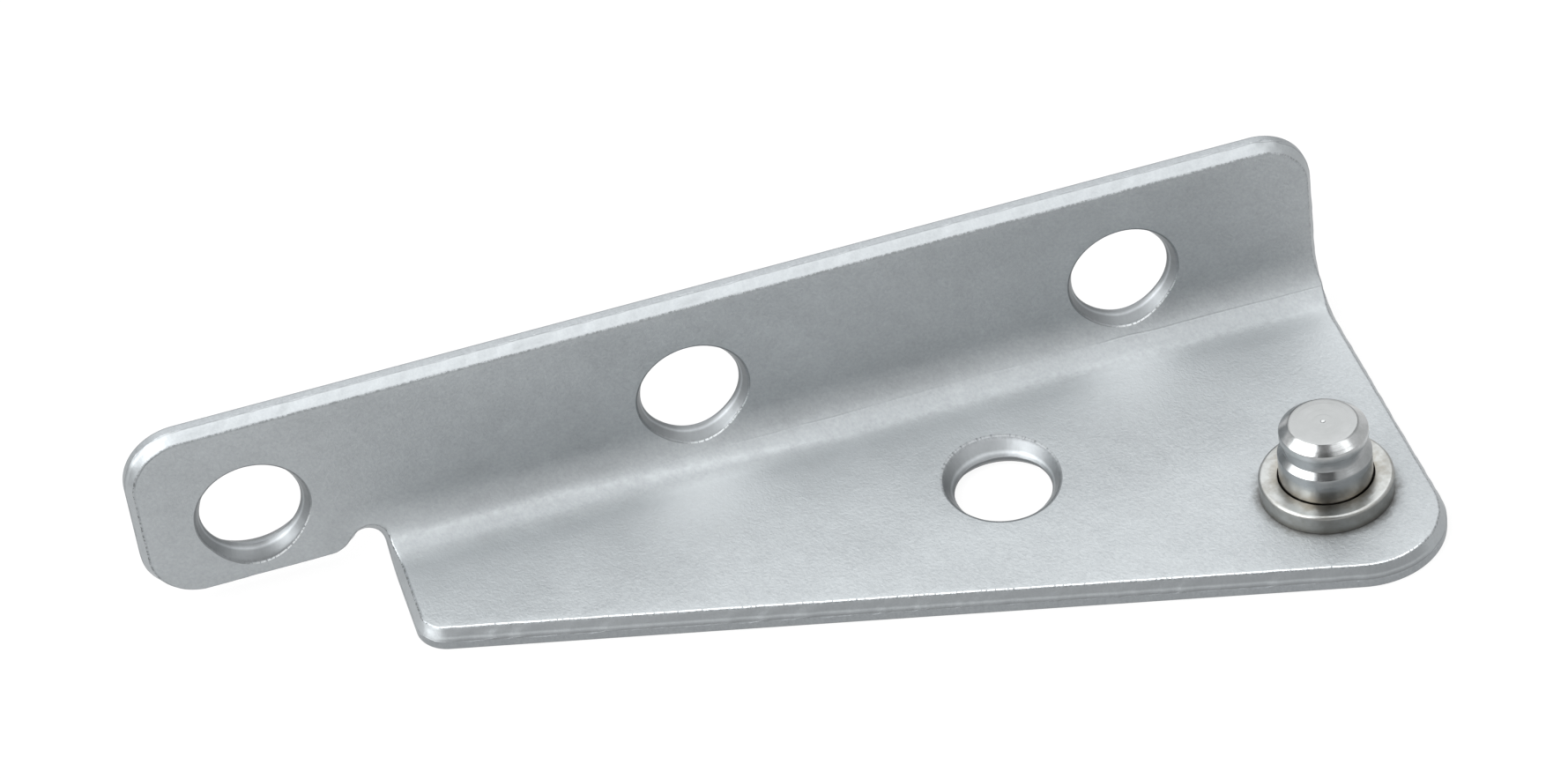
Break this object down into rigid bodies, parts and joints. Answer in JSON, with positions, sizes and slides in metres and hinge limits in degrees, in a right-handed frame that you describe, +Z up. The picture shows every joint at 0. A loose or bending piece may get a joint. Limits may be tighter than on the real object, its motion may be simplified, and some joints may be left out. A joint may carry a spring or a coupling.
{
  "type": "stamped hinge bracket",
  "caption": "Folded sheet-steel hinge bracket: upright flange with a row of pierced bolt holes, tapering foot with a flared hole, and a riveted grooved pin that carries a loose ring.",
  "frame": {"origin": "axis of the middle hole of the wall, on the wall's flat mounting face", "axes": "+X along the fold towards the pin's end, +Y out of the mounting face, +Z up from the base's underside to the wall's top edge"},
  "size_m": [0.1032, 0.0375, 0.0184],
  "materials": {
    "zinc_steel": "satin",
    "turned_steel": "polished",
    "ring_steel": "satin"
  },
  "bodies": {
    "root": {"bracket": "zinc_steel", "pin": "turned_steel", "ring": "ring_steel"}
  },
  "joints": []
}
